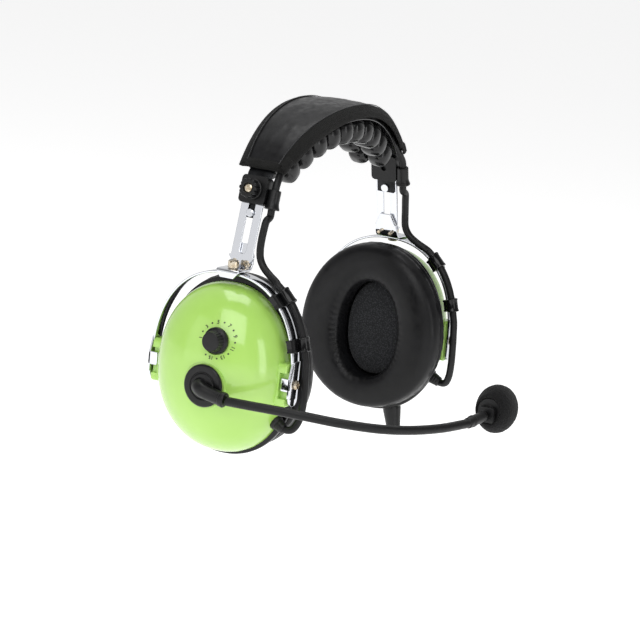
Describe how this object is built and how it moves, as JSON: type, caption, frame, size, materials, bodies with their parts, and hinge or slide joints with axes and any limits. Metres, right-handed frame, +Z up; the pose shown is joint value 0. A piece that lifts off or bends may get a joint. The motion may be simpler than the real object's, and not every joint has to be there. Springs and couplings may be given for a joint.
{
  "type": "aviation headset",
  "caption": "Two lime-green ear cups hung in chrome stirrups from a padded spring headband, with a boom microphone on the wearer's right.",
  "frame": {"origin": "where the underside of the headband's cushion rests on the crown of the head, midway between the ear cups", "axes": "+X towards the wearer's left, +Y towards the back of the head, +Z up; the wearer faces -Y and the boom is at -X"},
  "size_m": [0.2826, 0.2092, 0.2228],
  "materials": {
    "lime_shell": "glossy moulded, lime green",
    "chrome": "bright chrome plate",
    "nickel_screw": "nickel plate with a warm tint",
    "black_spring_steel": "black oxide spring steel, satin",
    "black_plastic": "satin black",
    "gloss_black": "glossy black",
    "leatherette": "black grained leatherette with woven edge binding",
    "air_cell_vinyl": "glossy black vinyl",
    "cord_jacket": "black cable jacket, satin",
    "black_foam": "open-cell black foam",
    "grey_foam": "grey acoustic foam cloth",
    "circuit_board": "green solder mask",
    "steel": "plain steel"
  },
  "bodies": {
    "headband": {"headband_spring": "black_spring_steel", "pad_cover": "leatherette", "pad_air_cells": "air_cell_vinyl", "cord_over_band": "cord_jacket", "clamp_block_right": "black_plastic", "guide_stud_right": "chrome", "cord_channel_right": "black_plastic", "clamp_block_left": "black_plastic", "guide_stud_left": "chrome", "cord_channel_left": "black_plastic"},
    "clamp_knob_right": {"clamp_knob_right": "black_plastic"},
    "slider_right": {"slider_strap_right": "chrome", "slider_bracket_right": "chrome", "bracket_screw_front_right": "nickel_screw", "bracket_screw_rear_right": "nickel_screw", "swivel_screw_right": "nickel_screw", "cord_drop_right": "cord_jacket"},
    "stirrup_right": {"stirrup_right": "chrome", "stirrup_sleeve_lower_right": "gloss_black", "stirrup_sleeve_upper_right": "gloss_black", "cord_lower_right": "cord_jacket"},
    "cup_right": {"cup_shell_right": "lime_shell", "baffle_right": "black_plastic", "ear_seal_right": "leatherette", "speaker_right": "steel", "speaker_foam_right": "grey_foam", "pivot_screw_front_right": "nickel_screw", "pivot_screw_rear_right": "nickel_screw", "cord_grommet_right": "black_plastic", "preamp_board": "circuit_board", "boom_nut": "steel"},
    "clamp_knob_left": {"clamp_knob_left": "black_plastic"},
    "slider_left": {"slider_strap_left": "chrome", "slider_bracket_left": "chrome", "bracket_screw_front_left": "nickel_screw", "bracket_screw_rear_left": "nickel_screw", "swivel_screw_left": "nickel_screw", "cord_drop_left": "cord_jacket"},
    "stirrup_left": {"stirrup_left": "chrome", "stirrup_sleeve_lower_left": "gloss_black", "stirrup_sleeve_upper_left": "gloss_black", "cord_lower_left": "cord_jacket"},
    "cup_left": {"cup_shell_left": "lime_shell", "baffle_left": "black_plastic", "ear_seal_left": "leatherette", "speaker_left": "steel", "speaker_foam_left": "grey_foam", "pivot_screw_front_left": "nickel_screw", "pivot_screw_rear_left": "nickel_screw", "cord_grommet_left": "black_plastic", "comm_cord_gland_left": "black_plastic"},
    "volume_knob": {"volume_knob": "black_plastic"},
    "boom": {"boom_elbow": "black_plastic"},
    "gooseneck_rear": {"gooseneck_rear": "cord_jacket"},
    "gooseneck_front": {"gooseneck_front": "cord_jacket"},
    "mic": {"gooseneck_tip": "cord_jacket", "mic_ferrule": "black_plastic", "mic_clip": "black_plastic", "mic_capsule": "black_plastic", "mic_windscreen": "black_foam"}
  },
  "joints": [
    {"name": "clamp_knob_turn_right", "type": "hinge", "parent": "headband", "child": "clamp_knob_right", "pos_m": [-0.08503, 0, -0.02377], "axis": [-0.972, 0, 0.2351], "range_deg": [0, 540]},
    {"name": "slider_slide_right", "type": "slide", "parent": "headband", "child": "slider_right", "axis": [0.2351, 0, 0.972], "range_m": [-0.0015, 0.015], "deforming": ["cord_drop_right"]},
    {"name": "stirrup_swivel_right", "type": "hinge", "parent": "slider_right", "child": "stirrup_right", "pos_m": [-0.104, 0, -0.0705], "axis": [0, 0, 1], "range_deg": [-12.5, 12.5]},
    {"name": "cup_tilt_right", "type": "hinge", "parent": "stirrup_right", "child": "cup_right", "pos_m": [-0.104, 0, -0.1325], "axis": [0, 1, 0], "range_deg": [-8, 8], "deforming": ["cord_lower_right"]},
    {"name": "clamp_knob_turn_left", "type": "hinge", "parent": "headband", "child": "clamp_knob_left", "pos_m": [0.08503, 0, -0.02377], "axis": [0.972, 0, 0.2351], "range_deg": [0, 540]},
    {"name": "slider_slide_left", "type": "slide", "parent": "headband", "child": "slider_left", "axis": [-0.2351, 0, 0.972], "range_m": [-0.0015, 0.015], "deforming": ["cord_drop_left"]},
    {"name": "stirrup_swivel_left", "type": "hinge", "parent": "slider_left", "child": "stirrup_left", "pos_m": [0.104, 0, -0.0705], "axis": [0, 0, 1], "range_deg": [-12.5, 12.5]},
    {"name": "cup_tilt_left", "type": "hinge", "parent": "stirrup_left", "child": "cup_left", "pos_m": [0.104, 0, -0.1325], "axis": [0, 1, 0], "range_deg": [-8, 8], "deforming": ["cord_lower_left"]},
    {"name": "volume_turn", "type": "hinge", "parent": "cup_right", "child": "volume_knob", "pos_m": [-0.138, -0.0098, -0.1086], "axis": [-1, 0, 0], "range_deg": [-150, 150]},
    {"name": "boom_swivel", "type": "hinge", "parent": "cup_right", "child": "boom", "pos_m": [-0.137, -0.0053, -0.1366], "axis": [-1, 0, 0], "range_deg": [-110, 65]},
    {"name": "gooseneck_bend_rear", "type": "hinge", "parent": "boom", "child": "gooseneck_rear", "pos_m": [-0.142, -0.025, -0.14168], "axis": [0, 0, 1], "range_deg": [-30, 12]},
    {"name": "gooseneck_bend_middle", "type": "hinge", "parent": "gooseneck_rear", "child": "gooseneck_front", "pos_m": [-0.123, -0.092, -0.1453], "axis": [-0.8, -0.6, 0], "range_deg": [-25, 25]},
    {"name": "gooseneck_bend_tip", "type": "hinge", "parent": "gooseneck_front", "child": "mic", "pos_m": [-0.073, -0.1338, -0.1479], "axis": [0, 0, 1], "range_deg": [-30, 30]}
  ]
}
